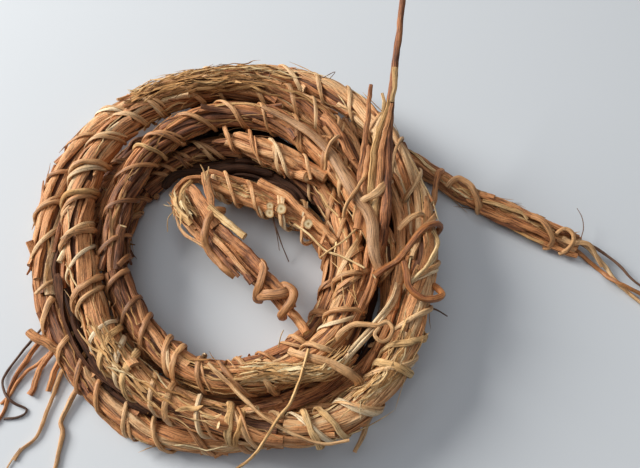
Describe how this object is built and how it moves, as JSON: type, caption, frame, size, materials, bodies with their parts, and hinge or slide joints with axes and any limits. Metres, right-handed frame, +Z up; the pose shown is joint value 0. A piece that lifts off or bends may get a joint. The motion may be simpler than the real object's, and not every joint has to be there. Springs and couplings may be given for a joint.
{
  "type": "bundle of vetiver roots",
  "caption": "Rope of dried vetiver roots, bound by a thin spiral root and wound into a flat loose coil, with frayed root ends and two free tails.",
  "frame": {"origin": "middle of the whole object's plan, on the surface that the coil lies on", "axes": "+Z up out of the coil's plane, +X to the right along the longest reach towards the outer tail, +Y away from the viewer"},
  "size_m": [0.1754, 0.1213, 0.0417],
  "materials": {
    "orange_brown_root": "dry, satin along the fibres, finely grooved",
    "straw_root": "dry, matt straw-coloured root skin",
    "brown_root": "dry brown bark, matt with slight sheen",
    "grey_brown_bark": "smooth bark, low sheen",
    "red_brown_root": "smooth root skin, satin",
    "pale_split_fibre": "split fibre, matt",
    "dark_rootlet": "thin wiry rootlet, satin",
    "cut_pith": "pale cut end with an open middle, matt"
  },
  "bodies": {
    "root": {"outer_tail_rope": "orange_brown_root", "first_turn_rope": "orange_brown_root", "second_turn_rope": "orange_brown_root", "third_turn_rope": "orange_brown_root", "fourth_turn_rope": "orange_brown_root", "fifth_turn_rope": "orange_brown_root", "inner_turn_rope": "orange_brown_root", "inner_tail_rope": "orange_brown_root", "upright_stick": "brown_root", "upright_sheath": "pale_split_fibre", "standing_stub": "orange_brown_root", "red_binding_root": "red_brown_root", "red_hook_root": "red_brown_root", "long_loose_root": "straw_root", "thin_hanging_root": "pale_split_fibre", "loose_end_stick": "straw_root", "inner_pale_stub": "pale_split_fibre", "inner_frayed_stub": "orange_brown_root", "inner_single_stick": "orange_brown_root", "tail_stub": "brown_root", "grey_bark_strip": "grey_brown_bark", "tail_tan_root": "straw_root", "tail_red_root": "red_brown_root", "tail_knotted_root": "dark_rootlet", "dark_wiry_root": "dark_rootlet", "brown_floor_root": "brown_root", "forked_floor_root": "orange_brown_root", "stub_floor_root": "orange_brown_root", "long_floor_root": "straw_root", "lower_floor_root": "straw_root", "side_stub": "orange_brown_root"}
  },
  "joints": []
}
